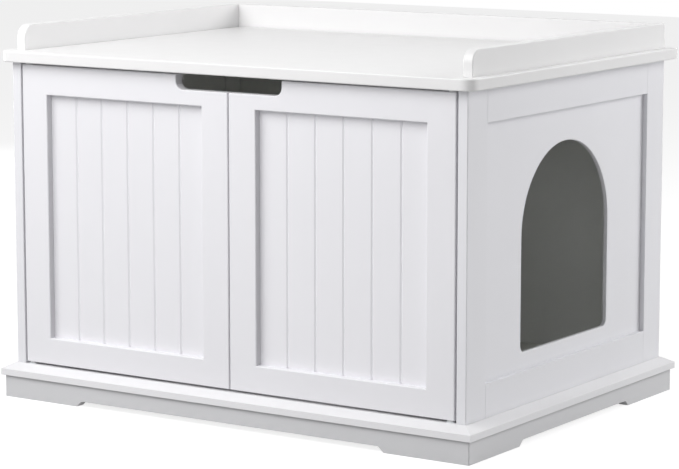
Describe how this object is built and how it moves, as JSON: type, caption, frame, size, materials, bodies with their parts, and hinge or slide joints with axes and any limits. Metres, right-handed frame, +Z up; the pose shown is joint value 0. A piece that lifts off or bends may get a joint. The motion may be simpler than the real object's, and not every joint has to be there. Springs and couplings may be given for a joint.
{
  "type": "cat litter box cabinet",
  "caption": "Free-standing cabinet that hides a litter box: inset doors on pivot pins, an arched entrance in the right side and a low rim around the top.",
  "frame": {"origin": "on the floor under the middle of the cabinet", "axes": "+X to the cabinet's right, the side with the arched entrance; +Y to its back, so the doors face -Y; +Z up"},
  "size_m": [0.795, 0.585, 0.54],
  "materials": {
    "painted_door": "white satin lacquer on MDF",
    "painted_side": "white satin lacquer on MDF",
    "painted_top": "white satin lacquer on MDF",
    "painted_base": "white satin lacquer on MDF",
    "glue_block_wood": "bare pine",
    "dowel_wood": "fluted beech",
    "zinc_steel": "bright zinc-plated steel",
    "cast_zinc": "die-cast zinc",
    "white_nylon": "moulded white nylon",
    "dark_magnet": "ferrite magnet"
  },
  "bodies": {
    "cabinet": {"base_board": "painted_base", "plinth_front": "painted_base", "plinth_back": "painted_base", "plinth_left": "painted_base", "plinth_right": "painted_base", "plinth_corner_blocks": "glue_block_wood", "left_front_stile": "painted_side", "left_rear_stile": "painted_side", "left_top_rail": "painted_side", "left_bottom_rail": "painted_side", "right_front_stile": "painted_side", "right_rear_stile": "painted_side", "right_top_rail": "painted_side", "right_bottom_rail": "painted_side", "left_side_panel": "painted_side", "right_arch_panel": "painted_side", "back_panel": "painted_side", "top_board": "painted_top", "rim_left": "painted_top", "rim_right": "painted_top", "rim_back": "painted_top", "pivot_plates_bottom": "zinc_steel", "pivot_plates_top": "zinc_steel", "pivot_pins": "zinc_steel", "pivot_plate_screws": "zinc_steel", "catch_screws": "zinc_steel", "base_screws": "zinc_steel", "cam_bolts": "zinc_steel", "rim_screws": "zinc_steel", "block_screws": "zinc_steel", "cam_nuts": "cast_zinc", "catch_housings": "white_nylon", "catch_magnets": "dark_magnet", "side_dowels": "dowel_wood", "back_dowels": "dowel_wood"},
    "left_door": {"left_door_frame": "painted_door", "left_door_panel": "painted_door", "left_door_bushes": "white_nylon", "left_strike_plate": "zinc_steel", "left_strike_screw": "zinc_steel"},
    "right_door": {"right_door_frame": "painted_door", "right_door_panel": "painted_door", "right_door_bushes": "white_nylon", "right_strike_plate": "zinc_steel", "right_strike_screw": "zinc_steel"}
  },
  "joints": [
    {"name": "left_door_hinge", "type": "hinge", "parent": "cabinet", "child": "left_door", "pos_m": [-0.354, -0.2675, 0.05], "axis": [0, 0, -1], "range_deg": [0, 105]},
    {"name": "right_door_hinge", "type": "hinge", "parent": "cabinet", "child": "right_door", "pos_m": [0.354, -0.2675, 0.05], "axis": [0, 0, 1], "range_deg": [0, 105]}
  ]
}
